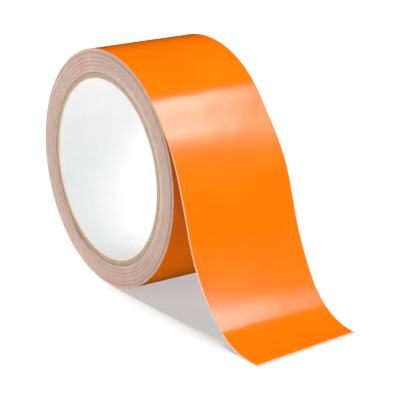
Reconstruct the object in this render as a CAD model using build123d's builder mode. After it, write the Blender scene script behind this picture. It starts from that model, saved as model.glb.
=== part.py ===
from build123d import *

import os
from math import cos, pi, radians, sin

# Roll of liner-backed adhesive marking tape, standing on its rim with the free end hanging down to the surface.
#
# Row frame, millimetres: +Y runs along the roll's axis, +Z is up, +X points to the side where the free end leaves.
# The origin is the centre of the core's bore. The roll and the free end both stand on the plane z = -stand_radius.

# ---- driving dimensions -------------------------------------------------------------------------
tape_width = 50.8  # 2 in tape, and the length of the core
bore_radius = 38.1  # 3 in core
lining_ply = 0.22  # bleached paper that lines the bore
board_ply = 0.66  # each of the four chipboard plies
kraft_ply = 0.24  # brown outer ply that the tape is started on
seam_gap = 0.35  # butt gap of each spirally wound ply
seam_lead = 120.0  # advance of a ply's seam in one turn round the core

film_t = 0.080  # pigmented face film
adhesive_t = 0.080  # adhesive coat
liner_t = 0.142  # release paper
web_t = film_t + adhesive_t + liner_t  # one turn of tape
whole_turns = 31  # and a part turn more, from the start line to the leave angle: about 10 yd of tape
start_angle = 234.0  # where the web starts on the core
climb_angle = 22.0  # each turn climbs over the one below within this angle of the start line

core_radius = bore_radius + lining_ply + 4 * board_ply + kraft_ply
stand_radius = core_radius + whole_turns * web_t  # outside of the last whole turn
roll_radius = stand_radius + web_t  # outside of the part turn

leave_angle = 37.8  # where the free end leaves the roll, degrees up from +X
joint_gap = 0.24  # gap between two links of the free end
toe_skew = 4.4  # how much further the cut end reaches at -Y than at +Y

# The free end's top face as tangent arcs: (length in mm, turn in degrees, positive away from the roll)
lip_arcs = [(8.0, 2.1)]  # free web that stays rigid with the roll, up to the peel line
upper_arcs = [(12.0, -10.6), (14.0, -10.2)]
middle_arcs = [(13.888, -2.3), (14.0, 10.3)]
lower_arcs = [(14.0, 9.6), (12.0, 15.6)]
toe_arcs = [(10.0, 21.0), (8.0, 13.8), (6.2, 4.5)]

half_width = tape_width / 2
os.makedirs("parts", exist_ok=True)


# ---- paths --------------------------------------------------------------------------------------
def arc_run(start, heading, arcs):
    """Each tangent arc as (start point, start heading, length, turn), headings in radians."""
    x, z = start
    found = []
    for length, turn in arcs:
        turn = radians(turn)
        found.append(((x, z), heading, length, turn))
        rho = length / turn
        x += rho * (sin(heading + turn) - sin(heading))
        z += rho * (-cos(heading + turn) + cos(heading))
        heading += turn
    return found, (x, z), heading


def arc_point(segment, share, depth):
    """A point on one arc, share of the way along, depth below the web's top face."""
    (x, z), heading, length, turn = segment
    rho = length / turn
    here = heading + turn * share
    x += rho * (sin(here) - sin(heading))
    z += rho * (-cos(here) + cos(heading))
    return (x + depth * sin(here), z - depth * cos(here))


def trimmed(segments, head, tail):
    """The same run with head mm cut from its start and tail mm from its end."""
    out = list(segments)
    if head:
        (point, heading, length, turn) = out[0]
        share = head / length
        out[0] = (
            arc_point(out[0], share, 0),
            heading + turn * share,
            length - head,
            turn * (1 - share),
        )
    if tail:
        (point, heading, length, turn) = out[-1]
        out[-1] = (point, heading, length - tail, turn * (1 - tail / length))
    return out


def swept(centre, radius, begin, end):
    """One arc, angles in degrees, as its two ends and its middle."""
    x, z = centre
    return [
        (x + radius * cos(radians(v)), z + radius * sin(radians(v)))
        for v in (begin, (begin + end) / 2, end)
    ]


def wound_triples(depth):
    """The wound web at depth below its top face, from the core outwards. Each turn is round for most of its way,
    in two arcs, then climbs one thickness over the start line, in a flatter arc and a tighter one."""
    half = climb_angle / 2
    lift = web_t / (2 * (1 - cos(radians(half))))
    flat = radians(start_angle + climb_angle)
    tight = radians(start_angle)
    flat_centre = (-lift * cos(flat), -lift * sin(flat))
    tight_centre = (lift * cos(tight), lift * sin(tight))
    triples = []
    for turn in range(whole_turns):
        radius = core_radius + turn * web_t + (web_t - depth)
        middle = start_angle - (360 - climb_angle) / 2
        end = start_angle - 360 + climb_angle
        triples.append(swept((0, 0), radius, start_angle, middle))
        triples.append(swept((0, 0), radius, middle, end))
        triples.append(swept(flat_centre, radius + lift, end, end - half))
        triples.append(
            swept(tight_centre, radius + web_t - lift, end - half, start_angle - 360)
        )
    triples.append(
        swept((0, 0), stand_radius + web_t - depth, start_angle, leave_angle)
    )
    return triples


def run_triples(segments, depth):
    return [[arc_point(s, share, depth) for share in (0, 0.5, 1)] for s in segments]


a0 = radians(leave_angle)
leave_point = (roll_radius * cos(a0), roll_radius * sin(a0))
lip_run, at, heading = arc_run(leave_point, a0 - pi / 2, lip_arcs)
peel_point, peel_heading = at, heading
upper_run, at, heading = arc_run(at, heading, upper_arcs)
bend_1, bend_1_heading = at, heading
middle_run, at, heading = arc_run(at, heading, middle_arcs)
bend_2, bend_2_heading = at, heading
lower_run, at, heading = arc_run(at, heading, lower_arcs)
bend_3, bend_3_heading = at, heading
toe_run, toe_end, toe_heading = arc_run(at, heading, toe_arcs)
for name, point, angle in (
    ("peel_line", peel_point, peel_heading),
    ("tail_bend_upper", bend_1, bend_1_heading),
    ("tail_bend_middle", bend_2, bend_2_heading),
    ("tail_bend_lower", bend_3, bend_3_heading),
):
    print(
        name,
        "axis x z",
        round(point[0] + web_t / 2 * sin(angle), 4),
        round(point[1] - web_t / 2 * cos(angle), 4),
    )
print("toe", [round(v, 3) for v in toe_end], "stands on z", round(-stand_radius, 4))
wound_length = sum(
    2 * pi * (core_radius + (turn + 0.5) * web_t) for turn in range(whole_turns)
) + radians(start_angle - leave_angle) * (stand_radius + web_t / 2)
print("wound web length, mm", round(wound_length))


def strip(part_name, top, bottom, ends):
    """A closed profile between two rows of arcs, extruded to the tape's width."""
    with BuildPart() as made:
        with BuildSketch(Plane.XZ):
            with BuildLine():
                for start, middle, end in top:
                    ThreePointArc(start, middle, end)
                Line(top[-1][2], bottom[-1][2])
                for start, middle, end in reversed(bottom):
                    ThreePointArc(end, middle, start)
                Line(bottom[0][0], top[0][0])
            make_face()
        extrude(amount=half_width, both=True)
        if ends == "skewed":
            # The free end was cut by hand, a little out of square.
            far_end = toe_end[0] - toe_skew * (1 + 1 / tape_width)
            near_end = toe_end[0] + toe_skew / tape_width
            with BuildSketch(Plane.XY.offset(-stand_radius - 5)):
                with BuildLine():
                    Polyline(
                        (near_end, -half_width - 1),
                        (far_end, half_width + 1),
                        (toe_end[0] + 10, half_width + 1),
                        (toe_end[0] + 10, -half_width - 1),
                        close=True,
                    )
                make_face()
            extrude(amount=20, mode=Mode.SUBTRACT)
    made.part.label = part_name
    return made


layers = {
    "film": (0.0, film_t),
    "adhesive": (film_t, film_t + adhesive_t),
    "liner": (film_t + adhesive_t, web_t),
}

# ---- core: six spirally wound plies, each with its own helical butt seam --------------------------
plies = [
    ("core_lining_ply", lining_ply, 262.0),
    ("core_board_ply_1", board_ply, 20.0),
    ("core_board_ply_2", board_ply, 95.0),
    ("core_board_ply_3", board_ply, 170.0),
    ("core_board_ply_4", board_ply, 250.0),
    ("core_kraft_ply", kraft_ply, 320.0),
]
inner = bore_radius
for ply_name, thickness, seam_start in plies:
    outer = inner + thickness
    seam_height = tape_width + 8
    with BuildPart() as seam:
        with BuildLine():
            path = Helix(
                pitch=seam_lead,
                height=seam_height,
                radius=inner + thickness / 2,
                center=(0, 0, -seam_height / 2),
            )
        with BuildSketch(
            Plane(
                origin=path @ 0,
                x_dir=(1, 0, 0),
                z_dir=path % 0,
            )
        ):
            Rectangle(thickness + 0.4, seam_gap)
        sweep(is_frenet=True)
    # The helix is drawn about +Z, then laid along the roll's axis at its own start angle.
    cutter = seam.part.rotate(Axis.Z, seam_start).rotate(Axis.X, 90)
    with BuildPart() as ply:
        with BuildSketch(Plane.XZ):
            Circle(outer)
            Circle(inner, mode=Mode.SUBTRACT)
        extrude(amount=half_width, both=True)
        add(cutter, mode=Mode.SUBTRACT)
    ply.part.label = ply_name
    export_step(ply.part, f"parts/{ply_name}.step")
    print(ply_name, "solids", len(ply.part.solids()), "volume", round(ply.part.volume, 1))
    inner = outer

# ---- wound web: film, adhesive and release liner, 31.6 turns, ending in the lip at the peel line ---
# The last whole turn and the part turn over it, which the free end belongs to, are nodes of their own.
lip = trimmed(lip_run, 0, joint_gap / 2)
inner_arcs = 4 * (whole_turns - 1)  # four arcs in each whole turn
for layer, (top_depth, bottom_depth) in layers.items():
    top = wound_triples(top_depth)
    bottom = wound_triples(bottom_depth)
    wound = strip(
        f"wound_{layer}", top[:inner_arcs], bottom[:inner_arcs], "square"
    )
    export_step(wound.part, f"parts/wound_{layer}.step")
    outer_wrap = strip(
        f"outer_wrap_{layer}",
        top[inner_arcs:] + run_triples(lip, top_depth),
        bottom[inner_arcs:] + run_triples(lip, bottom_depth),
        "square",
    )
    export_step(outer_wrap.part, f"parts/outer_wrap_{layer}.step")

# ---- free end: four links of the same web ---------------------------------------------------------
links = {
    "tail_upper": (trimmed(upper_run, joint_gap / 2, joint_gap / 2), "square"),
    "tail_middle": (trimmed(middle_run, joint_gap / 2, joint_gap / 2), "square"),
    "tail_lower": (trimmed(lower_run, joint_gap / 2, joint_gap / 2), "square"),
    "tail_toe": (trimmed(toe_run, joint_gap / 2, 0), "skewed"),
}
for link, (run, ends) in links.items():
    for layer, (top_depth, bottom_depth) in layers.items():
        piece = strip(
            f"{link}_{layer}",
            run_triples(run, top_depth),
            run_triples(run, bottom_depth),
            ends,
        )
        export_step(piece.part, f"parts/{link}_{layer}.step")
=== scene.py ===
"""Looks of a roll of glossy orange marking tape that stands on its rim with the free end hanging down to the floor.

All the making is in millimetres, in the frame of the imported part, and turned into metres when a mesh is written.
"""

import math

import bpy
import numpy as np
from mathutils import Matrix, Vector


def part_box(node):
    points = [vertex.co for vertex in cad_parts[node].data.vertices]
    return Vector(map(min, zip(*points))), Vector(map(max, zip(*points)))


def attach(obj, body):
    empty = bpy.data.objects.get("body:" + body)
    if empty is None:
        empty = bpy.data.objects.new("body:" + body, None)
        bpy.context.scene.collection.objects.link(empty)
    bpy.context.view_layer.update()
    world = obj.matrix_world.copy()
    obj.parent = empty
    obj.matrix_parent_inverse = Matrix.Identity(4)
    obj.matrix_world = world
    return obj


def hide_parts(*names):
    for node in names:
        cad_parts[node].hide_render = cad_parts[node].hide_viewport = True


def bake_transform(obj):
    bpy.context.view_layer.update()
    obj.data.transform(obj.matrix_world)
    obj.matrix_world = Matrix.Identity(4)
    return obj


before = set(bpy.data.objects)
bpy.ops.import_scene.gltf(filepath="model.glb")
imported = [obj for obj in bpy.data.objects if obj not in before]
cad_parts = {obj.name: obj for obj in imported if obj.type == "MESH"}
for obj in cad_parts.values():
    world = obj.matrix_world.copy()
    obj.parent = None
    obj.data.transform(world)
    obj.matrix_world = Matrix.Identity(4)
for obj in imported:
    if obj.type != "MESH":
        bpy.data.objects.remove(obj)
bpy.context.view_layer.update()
MM = 0.001

# ---- the part's own dimensions, in millimetres ----------------------------------------------------
half_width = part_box("outer_wrap_film")[1][1] / MM  # 25.4
bore_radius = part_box("core_lining_ply")[1][2] / MM - 0.22  # 38.1
plies = [
    ("core_lining_ply", 0.22, 262.0),
    ("core_board_ply_1", 0.66, 20.0),
    ("core_board_ply_2", 0.66, 95.0),
    ("core_board_ply_3", 0.66, 170.0),
    ("core_board_ply_4", 0.66, 250.0),
    ("core_kraft_ply", 0.24, 320.0),
]
seam_gap, seam_lead = 0.35, 120.0
film_t, adhesive_t, liner_t = 0.080, 0.080, 0.142
web_t = film_t + adhesive_t + liner_t
whole_turns, start_angle, climb_angle, leave_angle = 31, 234.0, 22.0, 37.8
core_radius = bore_radius + sum(t for _, t, _ in plies)
stand_radius = core_radius + whole_turns * web_t
roll_radius = stand_radius + web_t
toe_skew = 4.4
tail_arcs = [
    (8.0, 2.1),
    (12.0, -10.6),
    (14.0, -10.2),
    (13.888, -2.3),
    (14.0, 10.3),
    (14.0, 9.6),
    (12.0, 15.6),
    (10.0, 21.0),
    (8.0, 13.8),
    (6.2, 4.5),
]
layers = {
    "film": (0.0, film_t),
    "adhesive": (film_t, film_t + adhesive_t),
    "liner": (film_t + adhesive_t, web_t),
}
# How far each layer's cut edge stands out of the part's side, or back from it. The release paper is cut a little wider.
edge_out = {"film": -0.02, "adhesive": -0.12, "liner": 0.20}
rng = np.random.default_rng(7)


def smooth(x, low, high):
    t = np.clip((np.asarray(x, float) - low) / (high - low), 0, 1)
    return t * t * (3 - 2 * t)


def wave(x, knots):
    """A smooth curve through the values in knots, one for each whole x."""
    x = np.clip(np.asarray(x, float), 0, len(knots) - 1.001)
    k = np.floor(x).astype(int)
    t = x - k
    t = t * t * (3 - 2 * t)
    return knots[k] * (1 - t) + knots[k + 1] * t


# ---- meshes ---------------------------------------------------------------------------------------
def mesh_object(
    name, points, faces, materials, face_material=None, uv=None, values=None, angle=35
):
    me = bpy.data.meshes.new(name)
    me.from_pydata((np.asarray(points, float) * MM).tolist(), [], faces)
    for m in materials:
        me.materials.append(m)
    if face_material is not None:
        me.polygons.foreach_set("material_index", np.asarray(face_material, np.int32))
    if values:
        for key, data in values.items():
            me.attributes.new(key, "FLOAT", "POINT").data.foreach_set(
                "value", np.asarray(data, np.float32)
            )
    if uv is not None:
        corner = np.zeros(len(me.loops), np.int32)
        me.loops.foreach_get("vertex_index", corner)
        layer = me.uv_layers.new(name="web")
        layer.data.foreach_set("uv", np.asarray(uv, np.float32)[corner].ravel())
    me.polygons.foreach_set("use_smooth", np.ones(len(me.polygons), bool))
    me.validate()
    me.set_sharp_from_angle(angle=math.radians(angle))
    me.update()
    ob = bpy.data.objects.new(name, me)
    bpy.context.scene.collection.objects.link(ob)
    return ob


def tube_faces(rows, ring):
    """Quads round a closed ring of points, from each row to the next."""
    found = []
    for i in range(rows - 1):
        a, b = i * ring, (i + 1) * ring
        for k in range(ring):
            n = (k + 1) % ring
            found.append((a + k, a + n, b + n, b + k))
    return found


# ---- material helpers -----------------------------------------------------------------------------
def material(name):
    mat = bpy.data.materials.new(name)
    mat.use_nodes = True
    nodes, links = mat.node_tree.nodes, mat.node_tree.links
    shader = nodes["Principled BSDF"]
    return mat, nodes, links, shader


def node(nodes, kind, **values):
    made = nodes.new(kind)
    for key, value in values.items():
        if key.startswith("in_"):
            made.inputs[key[3:].replace("_", " ")].default_value = value
        else:
            setattr(made, key, value)
    return made


def ramp(nodes, links, source, stops):
    made = nodes.new("ShaderNodeValToRGB")
    while len(made.color_ramp.elements) < len(stops):
        made.color_ramp.elements.new(0.5)
    for element, (place, colour) in zip(made.color_ramp.elements, stops):
        element.position = place
        element.color = (*colour, 1) if len(colour) == 3 else colour
    links.new(source, made.inputs["Fac"])
    return made.outputs["Color"]


def mixed(nodes, links, kind, share, a, b):
    """a and b are sockets or colours."""
    made = nodes.new("ShaderNodeMix")
    made.data_type, made.blend_type = "RGBA", kind
    for socket, value in ((made.inputs[0], share), (made.inputs[6], a), (made.inputs[7], b)):
        if isinstance(value, bpy.types.NodeSocket):
            links.new(value, socket)
        else:
            socket.default_value = value if isinstance(value, float) else (*value, 1)
    return made.outputs[2]


def scaled(nodes, links, kind, vector):
    """Coordinates of a kind, scaled by vector, for a texture."""
    source = nodes.new("ShaderNodeTexCoord")
    made = nodes.new("ShaderNodeMapping")
    made.inputs["Scale"].default_value = vector
    if kind == "web":
        uv = nodes.new("ShaderNodeUVMap")
        uv.uv_map = "web"
        links.new(uv.outputs["UV"], made.inputs["Vector"])
    else:
        links.new(source.outputs[kind], made.inputs["Vector"])
    return made.outputs["Vector"]


def noise(nodes, links, vector, scale, detail=3.0, rough=0.5, distortion=0.0):
    made = nodes.new("ShaderNodeTexNoise")
    made.inputs["Scale"].default_value = scale
    made.inputs["Detail"].default_value = detail
    made.inputs["Roughness"].default_value = rough
    made.inputs["Distortion"].default_value = distortion
    links.new(vector, made.inputs["Vector"])
    return made.outputs["Fac"]


def range_of(nodes, links, source, low, high, from_low=0.0, from_high=1.0):
    made = nodes.new("ShaderNodeMapRange")
    made.inputs["From Min"].default_value = from_low
    made.inputs["From Max"].default_value = from_high
    made.inputs["To Min"].default_value = low
    made.inputs["To Max"].default_value = high
    links.new(source, made.inputs["Value"])
    return made.outputs["Result"]


def bumped(nodes, links, shader, heights):
    """Chains bumps: each of heights is (socket, strength, distance in metres)."""
    normal = None
    for height, strength, distance in heights:
        made = nodes.new("ShaderNodeBump")
        made.inputs["Strength"].default_value = strength
        made.inputs["Distance"].default_value = distance
        links.new(height, made.inputs["Height"])
        if normal is not None:
            links.new(normal, made.inputs["Normal"])
        normal = made.outputs["Normal"]
    links.new(normal, shader.inputs["Normal"])


def mottled_with_painted_shade(nodes, links, colour, depth):
    """colour, a little mottled by handling and dust, and darkened towards grey-brown with painted shade where the
    geometry attribute asks for it.
    """
    at = scaled(nodes, links, "Object", (1, 1, 1))
    dust = noise(nodes, links, at, 420.0, 3.0, 0.7)
    colour = mixed(nodes, links, "MULTIPLY", 1.0, colour, ramp(
        nodes, links, dust, [(0.3, (0.88, 0.87, 0.87)), (0.68, (1.0, 1.0, 1.0))]
    ))
    # Painted shade: the attribute read here darkens the colour, standing in for shade in the grooves where turns wander
    # and in the hollow at the start of the web.
    tone_and_painted_shade = nodes.new("ShaderNodeAttribute")
    tone_and_painted_shade.attribute_type = "GEOMETRY"
    tone_and_painted_shade.attribute_name = "tone_and_painted_shade"
    share = range_of(nodes, links, tone_and_painted_shade.outputs["Fac"], 0.0, depth)
    return mixed(nodes, links, "MULTIPLY", share, colour, (0.42, 0.36, 0.34))


# ---- materials ------------------------------------------------------------------------------------
def film_material():
    mat, nodes, links, shader = material("film_gloss_orange")
    web = scaled(nodes, links, "web", (1, 1, 1))
    cloud = noise(nodes, links, web, 0.045, 3.0)
    colour = ramp(
        nodes, links, cloud, [(0.3, (0.885, 0.164, 0.0)), (0.7, (0.94, 0.185, 0.001))]
    )
    links.new(colour, shader.inputs["Base Color"])
    # Calendered film: faint streaks along the web, and a few fine scuffs where it has been handled.
    streak_at = scaled(nodes, links, "web", (0.02, 1.6, 1))
    streaks = noise(nodes, links, streak_at, 1.0, 4.0, 0.6)
    scuff_at = scaled(nodes, links, "web", (0.35, 2.2, 1))
    scuffs = noise(nodes, links, scuff_at, 1.0, 6.0, 0.7, 0.6)
    worn = range_of(nodes, links, scuffs, 0.0, 0.07, 0.62, 0.80)
    base = range_of(nodes, links, streaks, 0.105, 0.145)
    added = node(nodes, "ShaderNodeMath", operation="ADD")
    links.new(base, added.inputs[0])
    links.new(worn, added.inputs[1])
    links.new(added.outputs[0], shader.inputs["Roughness"])
    peel = noise(nodes, links, web, 1.1, 2.0)
    pull = noise(nodes, links, web, 0.09, 1.0)
    bumped(
        nodes,
        links,
        shader,
        [
            (pull, 1.0, 0.00010),
            (streaks, 1.0, 0.0000012),
            (peel, 1.0, 0.0000025),
        ],
    )
    shader.inputs["IOR"].default_value = 1.5
    return mat


def film_edge_material():
    mat, nodes, links, shader = material("film_cut_edge")
    at = scaled(nodes, links, "Object", (1, 1, 1))
    grain = noise(nodes, links, at, 900.0, 3.0)
    colour = ramp(
        nodes, links, grain, [(0.3, (0.90, 0.29, 0.11)), (0.7, (0.98, 0.37, 0.16))]
    )
    links.new(mottled_with_painted_shade(nodes, links, colour, 0.55), shader.inputs["Base Color"])
    links.new(range_of(nodes, links, grain, 0.35, 0.55), shader.inputs["Roughness"])
    bumped(nodes, links, shader, [(grain, 0.4, 0.00002)])
    return mat


def adhesive_material():
    mat, nodes, links, shader = material("adhesive_coat")
    at = scaled(nodes, links, "Object", (1, 1, 1))
    grain = noise(nodes, links, at, 700.0, 4.0)
    colour = ramp(
        nodes, links, grain, [(0.3, (0.84, 0.54, 0.42)), (0.7, (0.94, 0.65, 0.52))]
    )
    links.new(mottled_with_painted_shade(nodes, links, colour, 0.55), shader.inputs["Base Color"])
    links.new(range_of(nodes, links, grain, 0.30, 0.50), shader.inputs["Roughness"])
    bumped(nodes, links, shader, [(grain, 0.5, 0.00002)])
    return mat


def liner_material(name, dark, light):
    mat, nodes, links, shader = material(name)
    at = scaled(nodes, links, "Object", (1, 1, 1))
    fibres = noise(nodes, links, at, 1100.0, 5.0, 0.65)
    cloud = noise(nodes, links, at, 60.0, 2.0)
    colour = ramp(
        nodes, links, fibres, [(0.25, dark), (0.75, light)]
    )
    colour = mixed(nodes, links, "MULTIPLY", 0.25, colour, ramp(
        nodes, links, cloud, [(0.3, (0.92, 0.88, 0.85)), (0.7, (1.0, 1.0, 1.0))]
    ))
    links.new(mottled_with_painted_shade(nodes, links, colour, 0.55), shader.inputs["Base Color"])
    links.new(range_of(nodes, links, fibres, 0.55, 0.75), shader.inputs["Roughness"])
    bumped(nodes, links, shader, [(fibres, 0.5, 0.00003)])
    return mat


def board_material(name, dark, light, scale=450.0):
    """Grey-brown board: felted fibres with darker flecks, rough at the cut ends."""
    mat, nodes, links, shader = material(name)
    at = scaled(nodes, links, "Object", (1, 1, 1))
    fibres = noise(nodes, links, at, scale, 6.0, 0.7, 0.8)
    flecks = noise(nodes, links, at, scale * 0.45, 3.0, 0.6, 1.5)
    colour = ramp(nodes, links, fibres, [(0.28, dark), (0.72, light)])
    colour = mixed(
        nodes,
        links,
        "MULTIPLY",
        range_of(nodes, links, flecks, 0.0, 0.45, 0.62, 0.78),
        colour,
        (0.45, 0.38, 0.33),
    )
    links.new(colour, shader.inputs["Base Color"])
    links.new(range_of(nodes, links, fibres, 0.80, 0.95), shader.inputs["Roughness"])
    bumped(nodes, links, shader, [(fibres, 0.7, 0.00006), (flecks, 0.4, 0.00005)])
    shader.inputs["Specular IOR Level"].default_value = 0.25
    return mat


def lining_material():
    mat, nodes, links, shader = material("bleached_lining_paper")
    at = scaled(nodes, links, "Object", (1, 1, 1))
    fibres = noise(nodes, links, at, 800.0, 5.0, 0.7, 0.4)
    cloud = noise(nodes, links, at, 90.0, 3.0)
    colour = ramp(
        nodes, links, fibres, [(0.25, (0.83, 0.835, 0.83)), (0.75, (0.89, 0.895, 0.89))]
    )
    colour = mixed(nodes, links, "MULTIPLY", 0.3, colour, ramp(
        nodes, links, cloud, [(0.3, (0.93, 0.93, 0.93)), (0.7, (1.0, 1.0, 1.0))]
    ))
    links.new(colour, shader.inputs["Base Color"])
    links.new(range_of(nodes, links, fibres, 0.60, 0.78), shader.inputs["Roughness"])
    bumped(nodes, links, shader, [(cloud, 0.5, 0.00010), (fibres, 0.5, 0.00003)])
    shader.inputs["Specular IOR Level"].default_value = 0.3
    return mat


film_mat = film_material()
film_edge_mat = film_edge_material()
adhesive_mat = adhesive_material()
liner_mat = liner_material("release_paper", (0.60, 0.43, 0.24), (0.69, 0.51, 0.30))
liner_free_edge_mat = liner_material(
    "release_paper_free_edge", (0.84, 0.56, 0.36), (0.92, 0.65, 0.45)
)
# Painted highlight: the light peach of the last turns' edges stands in for light caught at the rim of the roll.
liner_rim_painted_highlight_mat = liner_material(
    "release_paper_rim_painted_highlight", (0.92, 0.61, 0.43), (0.98, 0.71, 0.53)
)
liner_first_mat = liner_material(
    "release_paper_first_turn", (0.86, 0.78, 0.64), (0.95, 0.88, 0.76)
)
liner_edge_mat = liner_material(
    "release_paper_wound_edge", (0.88, 0.685, 0.63), (0.96, 0.775, 0.72)
)
lining_mat = lining_material()
lining_edge_mat = liner_material(
    "lining_paper_turned_out", (0.80, 0.74, 0.60), (0.90, 0.85, 0.72)
)
board_mats = [
    board_material("chipboard_1", (0.45, 0.33, 0.235), (0.60, 0.455, 0.335)),
    board_material("chipboard_2", (0.42, 0.305, 0.22), (0.57, 0.425, 0.315)),
    board_material("chipboard_3", (0.38, 0.28, 0.205), (0.53, 0.40, 0.30)),
    board_material("chipboard_4", (0.36, 0.265, 0.195), (0.50, 0.375, 0.285)),
]
kraft_mat = board_material("kraft_ply", (0.31, 0.21, 0.145), (0.42, 0.295, 0.205), 600.0)
layer_mats = {
    "film": [film_mat, film_edge_mat],
    "adhesive": [adhesive_mat],
    "liner": [liner_mat, liner_free_edge_mat],
}
wound_mats = {
    **layer_mats,
    "liner": [liner_mat, liner_edge_mat, liner_rim_painted_highlight_mat, liner_first_mat],
}


# ---- core: six spirally wound plies ---------------------------------------------------------------
def ply_object(name, inner, outer, seam_start, proud, mats):
    """A strip of paper wound once round, its butt seam a helix, with slightly crushed and rough cut ends."""
    middle = np.linspace(-half_width + 0.35, half_width - 0.35, 22)
    bevel = min(0.10, (outer - inner) * 0.3)
    wall = [(outer, y) for y in middle]
    wall += [(outer - bevel * 0.25, half_width - 0.06), (outer - bevel, half_width)]
    wall += [(inner + bevel, half_width), (inner + bevel * 0.25, half_width - 0.06)]
    wall += [(inner, y) for y in middle[::-1]]
    wall += [(inner + bevel * 0.25, -half_width + 0.06), (inner + bevel, -half_width)]
    wall += [(outer - bevel, -half_width), (outer - bevel * 0.25, -half_width + 0.06)]
    wall = np.array(wall)
    if name.endswith("lining_ply"):
        # The cut leaves the lining turned out over the board in a thin lip.
        lip = np.abs(wall[:, 1]) > half_width - 0.1
        outside = lip & (wall[:, 0] > (inner + outer) / 2)
        top = lip & (np.abs(wall[:, 1]) > half_width - 0.01)
        wall[outside, 0] = outer + 0.30
        wall[outside, 1] = np.sign(wall[outside, 1]) * (half_width + 0.015)
        wall[outside & top, 0] = outer + 0.26
        wall[top, 1] = np.sign(wall[top, 1]) * (half_width + 0.05)
    ring = len(wall)
    columns = 300
    share = np.linspace(0, 1, columns)
    gap = math.degrees(seam_gap / ((inner + outer) / 2))
    knots = rng.uniform(-1, 1, 182)
    knots[-2:] = knots[:2]
    seam = seam_start + 88.2 - 360 / seam_lead * wall[:, 1]
    angle = seam[None, :] + gap / 2 + share[:, None] * (360 - gap)
    rough = wave(np.mod(angle, 360) / 2.0, knots) * 0.035
    end = np.abs(wall[None, :, 1]) > half_width - 0.1
    y = wall[None, :, 1] + np.where(end, np.sign(wall[None, :, 1]) * (rough + proud), 0)
    a = np.radians(angle)
    points = np.stack([wall[None, :, 0] * np.cos(a), y, wall[None, :, 0] * np.sin(a)], -1)
    faces = tube_faces(columns, ring)
    # The two sides of the seam, as ladders from the outer face of the ply to its inner face.
    outer_row = [ring - 2, ring - 1] + list(range(0, 24))
    inner_row = list(range(ring - 3, 23, -1))
    for base, flip in ((0, True), ((columns - 1) * ring, False)):
        for k in range(len(outer_row) - 1):
            quad = (
                base + outer_row[k],
                base + outer_row[k + 1],
                base + inner_row[k + 1],
                base + inner_row[k],
            )
            faces.append(quad[::-1] if flip else quad)
    kinds = [0] * len(faces)
    if len(mats) == 2:
        turned_out = {21, 22, 23, 24, 25, 47, 48, 49, 50, 51}
        kinds = [int(k in turned_out) for _ in range(columns - 1) for k in range(ring)]
        kinds += [0] * (len(faces) - len(kinds))
    return mesh_object(name, points.reshape(-1, 3), faces, mats, kinds, angle=40)


inner = bore_radius
ply_mats = [[lining_mat, lining_edge_mat], *([m] for m in board_mats), [kraft_mat]]
prouds = [0.04, -0.04, -0.05, -0.03, -0.04, 0.0]
for (name, thickness, seam_start), mats, proud in zip(plies, ply_mats, prouds):
    made = ply_object(
        name.replace("core_", "looks_"), inner, inner + thickness, seam_start, proud, mats
    )
    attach(made, "roll")
    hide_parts(name)
    inner += thickness


# ---- wound web ------------------------------------------------------------------------------------
def wound_path(depth, step=2.0):
    """Points of the wound web at depth below its top face, and how many turns along each one is."""
    half = climb_angle / 2
    lift = web_t / (2 * (1 - math.cos(math.radians(half))))
    flat, tight = math.radians(start_angle + climb_angle), math.radians(start_angle)
    flat_centre = (-lift * math.cos(flat), -lift * math.sin(flat))
    tight_centre = (lift * math.cos(tight), lift * math.sin(tight))
    x, z, wind = [], [], []

    def arc(centre, radius, begin, end, turn, last=False, fine=step):
        n = max(2, int(math.ceil(abs(end - begin) / fine)))
        a = np.radians(np.linspace(begin, end, n + 1))
        if not last:
            a = a[:-1]
        x.append(centre[0] + radius * np.cos(a))
        z.append(centre[1] + radius * np.sin(a))
        wind.append(turn + (start_angle - np.degrees(a)) / 360)

    for turn in range(whole_turns):
        radius = core_radius + turn * web_t + (web_t - depth)
        end = start_angle - 360 + climb_angle
        arc((0, 0), radius, start_angle, end, turn)
        arc(flat_centre, radius + lift, end, end - half, turn)
        arc(tight_centre, radius + web_t - lift, end - half, start_angle - 360, turn)
    arc((0, 0), stand_radius + web_t - depth, start_angle, leave_angle, whole_turns, True, 1.0)
    return np.concatenate(x), np.concatenate(z), np.concatenate(wind)


# Darker bands on the side, as (mean radius, how far each drifts round the roll, half width, depth). The turns wander
# sideways in them, and their darkness is painted shade in the side colour.
bands = [
    (42.35, 0.25, 0.26, 0.75),
    (44.05, 0.15, 0.30, 0.85),
    (45.60, 0.13, 0.26, 0.80),
    (47.40, 0.20, 0.30, 0.80),
    (49.20, 0.00, 0.42, 1.00),
]
turn_knots = rng.uniform(-1, 1, whole_turns + 4)
tone_knots = rng.uniform(-1, 1, whole_turns + 4)
angle_knots = rng.uniform(-1, 1, 38)
angle_knots[-2:] = angle_knots[:2]


def band_at(radius, angle):
    """0 on a plain turn, 1 in the middle of one of the dark bands."""
    found = np.zeros_like(radius)
    for mean, drift, width, depth in bands:
        centre = mean + drift * np.cos(np.radians(angle + 45))
        found = np.maximum(found, depth * np.exp(-(((radius - centre) / width) ** 2)))
    return found


def start_pocket(radius, angle):
    """1 in the small hollow where the first turns climb over the start of the web."""
    a = np.mod(angle, 360)
    round_ = smooth(a, start_angle - 8, start_angle - 3) * (1 - smooth(a, 246, 252))
    return round_ * (1 - smooth(radius, core_radius + 0.45, core_radius + 0.95))


def side_shift(radius, angle, wind):
    """How far the web has wandered towards -Y. It is nothing at the core and at the last turn."""
    bulge = 0.34 * smooth(radius, core_radius - 0.3, core_radius + 2.4)
    bulge = bulge * (1 - smooth(wind, whole_turns - 6.0, whole_turns + 0.3))
    wander = -0.11 * band_at(radius, angle)
    small = 0.022 * wave(wind, turn_knots) + 0.012 * wave(np.mod(angle, 360) / 10.0, angle_knots)
    held = 1 - smooth(wind, whole_turns - 0.2, whole_turns + 0.45)
    return bulge + (wander + small) * held - 0.22 * start_pocket(radius, angle)


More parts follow.
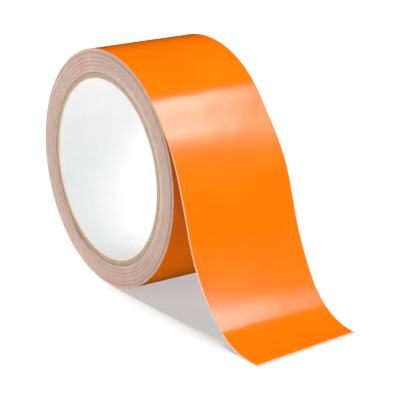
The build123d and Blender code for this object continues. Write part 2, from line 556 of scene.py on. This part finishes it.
def wound_object(layer):
    top_depth, bottom_depth = layers[layer]
    xt, zt, wind = wound_path(top_depth)
    xb, zb, _ = wound_path(bottom_depth)
    radius = np.hypot((xt + xb) / 2, (zt + zb) / 2)
    angle = np.degrees(np.arctan2(zt, xt))
    shift = side_shift(radius, angle, wind)
    out = edge_out[layer]
    near = -(half_width + out) - shift
    far = (half_width + out) - 0.55 * shift
    points = np.stack(
        [
            np.stack([xt, near, zt], -1),
            np.stack([xt, far, zt], -1),
            np.stack([xb, far, zb], -1),
            np.stack([xb, near, zb], -1),
        ],
        1,
    )
    rows = len(xt)
    faces = [tuple(reversed(f)) for f in tube_faces(rows, 4)]
    two = len(wound_mats[layer]) >= 2
    kinds = [0, 1, 0, 1] * (rows - 1) if two else [0] * len(faces)
    if layer == "liner":
        # The last turns' edges get no darkening and are painted a light peach, a painted highlight where the rim
        # catches the light; the first turns lie on pale paper.
        for r in range(rows - 1):
            if wind[r] > whole_turns - 1.35 or wind[r] < 1.6:
                kinds[4 * r + 1] = kinds[4 * r + 3] = 2 if wind[r] > 2 else 3
    faces += [(0, 1, 2, 3), tuple((rows - 1) * 4 + k for k in (3, 2, 1, 0))]
    kinds += [1, 1] if two else [0, 0]
    along = np.cumsum(np.r_[0, np.hypot(np.diff(xt), np.diff(zt))])
    along = along - along[-1]
    uv = np.stack(
        [
            np.stack([along, near], -1),
            np.stack([along, far], -1),
            np.stack([along, far + 1], -1),
            np.stack([along, near - 1], -1),
        ],
        1,
    ).reshape(-1, 2)
    # Darkening of the side: a random tone from turn to turn, plus painted shade in the dark bands and, strongest, in
    # the hollow at the start of the web. The bands and random tone fade out over the first and last turns; the start
    # hollow is darkened all the same.
    turn_tone_and_painted_shade = band_at(radius, angle) * 0.8 + 0.10 + 0.10 * wave(wind, tone_knots)
    turn_tone_and_painted_shade = turn_tone_and_painted_shade * smooth(wind, 1.0, 2.4) * (1 - smooth(wind, whole_turns - 1.6, whole_turns - 1.2))
    turn_tone_and_painted_shade = np.clip(np.maximum(turn_tone_and_painted_shade, 1.8 * start_pocket(radius, angle)), 0, 1.8)
    ob = mesh_object(
        f"looks_wound_{layer}",
        points.reshape(-1, 3),
        faces,
        wound_mats[layer],
        kinds,
        uv,
        {"tone_and_painted_shade": np.repeat(turn_tone_and_painted_shade, 4)},
    )
    return ob


for layer in layers:
    made = wound_object(layer)
    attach(made, "roll")
    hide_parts(f"wound_{layer}", f"outer_wrap_{layer}")


# ---- free end -------------------------------------------------------------------------------------
a0 = math.radians(leave_angle)
runs, where, heading, gone = [], (roll_radius * math.cos(a0), roll_radius * math.sin(a0)), a0 - math.pi / 2, 0.0
for length, turn in tail_arcs:
    turn = math.radians(turn)
    runs.append((gone, where, heading, length, turn))
    rho = length / turn
    where = (
        where[0] + rho * (math.sin(heading + turn) - math.sin(heading)),
        where[1] + rho * (-math.cos(heading + turn) + math.cos(heading)),
    )
    heading += turn
    gone += length
tail_length = gone


def tail_at(s):
    """Point on the web's top face and the heading there, s mm beyond where it leaves the roll."""
    s = np.asarray(s, float)
    x, z, h = np.zeros_like(s), np.zeros_like(s), np.zeros_like(s)
    for k, (start, (x0, z0), h0, length, turn) in enumerate(runs):
        here = (s >= start - 1e-9) if k else np.ones_like(s, bool)
        t = (s - start) / length
        rho = length / turn
        hh = h0 + turn * t
        x = np.where(here, x0 + rho * (np.sin(hh) - math.sin(h0)), x)
        z = np.where(here, z0 + rho * (-np.cos(hh) + math.cos(h0)), z)
        h = np.where(here, hh, h)
    return x, z, h


across = 15
splits = [0.0, 21.0, 48.0, 75.0]
links = [
    ("tail_upper", "roll", "tail_upper", 0.0, 21.0, 8.0, 21.0),
    ("tail_middle", "tail_upper", "tail_middle", 21.0, 48.0, 21.0, 48.0),
    ("tail_lower", "tail_middle", "tail_lower", 48.0, 75.0, 48.0, 75.0),
    ("tail_toe", "tail_lower", "tail_toe", 75.0, tail_length, 75.0, 100.8),
]


def tail_object(layer, link, begin, end):
    top_depth, bottom_depth = layers[layer]
    toe = link == "tail_toe"
    rows = int(round((end - begin) / 0.5)) + 1
    base = np.linspace(begin, end, rows)
    out = edge_out[layer]
    v = np.linspace(-1, 1, across)
    s = np.repeat(base[:, None], across, 1)
    wider = 0.22 * smooth(s, 4.0, 30.0) if layer == "liner" else np.zeros_like(s)
    y = v[None, :] * (half_width + out + wider)
    if toe:
        cut = -toe_skew * (y + half_width) / (2 * half_width)
        cut = cut + 0.05 * np.sin(y * 0.9 + 1.0) + (0.85 if layer == "liner" else 0.0)
        s = s + cut * smooth(base, 90.0, end)[:, None]
    x, z, h = tail_at(s)
    # The free end has a little twist: its near edge hangs closer to the roll than its far edge.
    twist = 1.05 * smooth(s, 8.0, 34.0) * (1 - smooth(s, 60.0, 86.0)) * v[None, :]
    cup = 0.10 * smooth(s, 8.0, 30.0) * (1 - smooth(s, 70.0, 95.0)) * (v[None, :] ** 2 - 0.4)
    push = twist + cup
    faces, points = [], []
    for depth in (top_depth, bottom_depth):
        d = depth - push
        points.append(np.stack([x + d * np.sin(h), y, z - d * np.cos(h)], -1))
    # A ring for each row: along the top from near to far, and back along the bottom.
    ringed = np.concatenate([points[0], points[1][:, ::-1]], 1)
    ring = 2 * across
    faces = [tuple(reversed(f)) for f in tube_faces(rows, ring)]
    kinds = []
    for _ in range(rows - 1):
        kinds += [0] * (across - 1) + [1] + [0] * (across - 1) + [1]
    for first in (True, False):
        a = 0 if first else (rows - 1) * ring
        for k in range(across - 1):
            quad = (a + k, a + k + 1, a + ring - 2 - k, a + ring - 1 - k)
            faces.append(quad if first else quad[::-1])
            kinds.append(1)
    if layer == "adhesive":
        kinds = [0] * len(faces)
    if layer == "liner":
        # The strip of the paper's upper face that shows beside the film is the pale coated side.
        kinds = [1 if k < (across - 1) and r < rows - 1 else kinds[r * ring + k] for r in range(rows - 1) for k in range(ring)] + kinds[(rows - 1) * ring:]
    uv = np.stack(
        [np.concatenate([s, s[:, ::-1]], 1), np.concatenate([y, y[:, ::-1]], 1)], -1
    )
    ob = mesh_object(
        f"looks_{link}_{layer}",
        ringed.reshape(-1, 3),
        faces,
        layer_mats[layer],
        kinds,
        uv.reshape(-1, 2),
        {"tone_and_painted_shade": np.full(rows * ring, 0.08)},
    )
    return ob


for link, body_a, body_b, begin, end, blend_begin, blend_end in links:
    for layer in layers:
        made = tail_object(layer, link, begin, end)
        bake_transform(made)
        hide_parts(f"{link}_{layer}")

# ---- floor, camera and light ----------------------------------------------------------------------
floor_z = -stand_radius * MM
floor_mesh = bpy.data.meshes.new("floor")
floor_mesh.from_pydata(
    [(-6, -6, floor_z - 0.00002), (6, -6, floor_z - 0.00002), (6, 6, floor_z - 0.00002), (-6, 6, floor_z - 0.00002)],
    [],
    [(0, 1, 2, 3)],
)
floor = bpy.data.objects.new("floor", floor_mesh)
bpy.context.scene.collection.objects.link(floor)
floor_mat, nodes, links_, shader = material("floor_white")
grain = noise(nodes, links_, scaled(nodes, links_, "Object", (1, 1, 1)), 40.0, 2.0)
links_.new(
    ramp(nodes, links_, grain, [(0.3, (0.145, 0.145, 0.145)), (0.7, (0.155, 0.155, 0.155))]),
    shader.inputs["Base Color"],
)
# A light table: the floor glows as if lit from below, and the glow is painted light that is stronger behind the roll,
# where it washes out the roll's shadow. A lamp of its own above it makes the soft shadow under the free end.
where_ = nodes.new("ShaderNodeTexCoord")
parts_ = nodes.new("ShaderNodeSeparateXYZ")
links_.new(where_.outputs["Object"], parts_.inputs[0])
lit = nodes.new("ShaderNodeMapRange")
lit.interpolation_type = "SMOOTHSTEP"
for key, value in (("From Min", -0.014), ("From Max", 0.008), ("To Min", 0.93), ("To Max", 0.47)):
    lit.inputs[key].default_value = value
links_.new(parts_.outputs["X"], lit.inputs["Value"])
links_.new(lit.outputs["Result"], shader.inputs["Emission Strength"])
shader.inputs["Emission Color"].default_value = (1.0, 1.0, 1.0, 1)
shader.inputs["Roughness"].default_value = 0.9
shader.inputs["Specular IOR Level"].default_value = 0.0
floor_mesh.materials.append(floor_mat)
floor.visible_glossy = False

camera = bpy.data.cameras.new("camera")
camera.lens, camera.sensor_width, camera.sensor_fit = 143.55, 36.0, "HORIZONTAL"
camera.clip_start, camera.clip_end = 0.01, 20.0
camera_object = bpy.data.objects.new("camera", camera)
bpy.context.scene.collection.objects.link(camera_object)
right = Vector((0.57278432, 0.81970408, 0.00182902))
up = Vector((-0.25321249, 0.17481412, 0.95148487))
ahead = Vector((-0.77961629, 0.54545874, -0.3076901))
turned = Matrix((right, up, -ahead)).transposed().to_4x4()
turned.translation = Vector((0.544801, -0.358691, 0.192897))
camera_object.matrix_world = turned
bpy.context.scene.camera = camera_object


def softbox(name, place, back, side, top, width, height, radiance, up_fade, side_fade, colour):
    """An area light facing away from back. The fades are stops: (share of the way across, share of the radiance)."""
    light = bpy.data.lights.new(name, "AREA")
    light.shape, light.size, light.size_y = "RECTANGLE", width, height
    light.energy = radiance * math.pi * width * height
    light.color = colour
    light.use_nodes = True
    nodes, links = light.node_tree.nodes, light.node_tree.links
    place_on = nodes.new("ShaderNodeNewGeometry")
    parts = nodes.new("ShaderNodeSeparateXYZ")
    links.new(place_on.outputs["Parametric"], parts.inputs[0])
    product = nodes.new("ShaderNodeMath")
    product.operation = "MULTIPLY"
    for k, (axis, fade) in enumerate((("Y", up_fade), ("X", side_fade))):
        made = nodes.new("ShaderNodeValToRGB")
        while len(made.color_ramp.elements) < len(fade):
            made.color_ramp.elements.new(0.5)
        for element, (at, share) in zip(made.color_ramp.elements, fade):
            element.position = at
            element.color = (share, share, share, 1)
        links.new(parts.outputs[axis], made.inputs["Fac"])
        links.new(made.outputs["Color"], product.inputs[k])
    links.new(product.outputs[0], nodes["Emission"].inputs["Strength"])
    ob = bpy.data.objects.new(name, light)
    bpy.context.scene.collection.objects.link(ob)
    turned = Matrix((side, top, back)).transposed().to_4x4()
    turned.translation = place
    ob.matrix_world = turned
    ob.visible_camera = False
    return ob


# The key is a tall panel behind and to the right. Its mirror image is the pale bar on the film.
key_back = Vector((0.39, 0.56, 0.733)).normalized()
key_up = Vector((-0.883, 0.0, 0.469))
key_side = key_up.cross(key_back).normalized()
key_up = key_back.cross(key_side)
key_zero = Vector((0.289, 0.538, 0.781))
key_low, key_high, key_wide = -1.010, 0.110, 1.0
key_place = key_zero + key_up * (key_low + key_high) / 2 + key_side * (-0.30)
profile = [
    (-1.010, 0.10), (-0.830, 0.16), (-0.646, 0.28), (-0.560, 0.40), (-0.483, 0.68), (-0.425, 1.00),
    (-0.370, 1.9), (-0.330, 2.9), (-0.257, 5.2), (-0.225, 6.4), (-0.190, 8.2), (-0.150, 9.3),
    (-0.100, 9.8), (0.040, 9.4), (0.058, 4.0), (0.075, 0.8), (0.110, 0.1),
]
sides = [
    (-0.80, 1.10), (-0.045, 1.07), (-0.015, 0.95), (0.010, 0.64), (0.030, 0.40),
    (0.045, 0.30), (0.060, 0.23), (0.080, 0.17), (0.100, 0.12), (0.200, 0.08),
]
softbox(
    "key",
    key_place,
    key_back,
    key_side,
    key_up,
    key_wide,
    key_high - key_low,
    10.7,
    [((b - key_low) / (key_high - key_low), l / 9.8) for b, l in profile],
    [((a + 0.30 + key_wide / 2) / key_wide, g / 1.10) for a, g in sides],
    (1.0, 0.93, 1.0),
)
sun = bpy.data.lights.new("front_fill", "SUN")
sun.energy, sun.angle = 1.70, math.radians(50)
sun_object = bpy.data.objects.new("front_fill", sun)
bpy.context.scene.collection.objects.link(sun_object)
sun_object.rotation_euler = Vector((-0.15, -1.0, 0.5)).to_track_quat("Z", "Y").to_euler()

sun = bpy.data.lights.new("back_fill", "SUN")
sun.energy, sun.angle = 2.8, math.radians(60)
sun.color = (0.97, 0.99, 1.0)
sun_object = bpy.data.objects.new("back_fill", sun)
bpy.context.scene.collection.objects.link(sun_object)
sun_object.rotation_euler = Vector((0.35, 1.0, 0.12)).to_track_quat("Z", "Y").to_euler()

sun = bpy.data.lights.new("floor_lamp", "SUN")
sun.energy, sun.angle = 13.0, math.radians(11)
floor_lamp = bpy.data.objects.new("floor_lamp", sun)
bpy.context.scene.collection.objects.link(floor_lamp)
floor_lamp.rotation_euler = Vector((-0.66, 0.0, 1.0)).to_track_quat("Z", "Y").to_euler()
lit_by_floor_lamp = bpy.data.collections.new("lit_by_floor_lamp")
lit_by_floor_lamp.objects.link(floor)
floor_lamp.light_linking.receiver_collection = lit_by_floor_lamp
for name in ("front_fill", "back_fill", "floor_lamp"):
    bpy.data.objects[name].visible_glossy = False

world = bpy.data.worlds.new("world")
world.use_nodes = True
world.node_tree.nodes["Background"].inputs["Color"].default_value = (1.0, 1.0, 1.0, 1)
world.node_tree.nodes["Background"].inputs["Strength"].default_value = 0.23
world.cycles_visibility.glossy = False
bpy.context.scene.world = world
bpy.context.scene.view_settings.view_transform = "Standard"
bpy.context.scene.view_settings.look = "None"
bpy.context.scene.view_settings.exposure = 0.0
bpy.context.scene.view_settings.gamma = 1.0
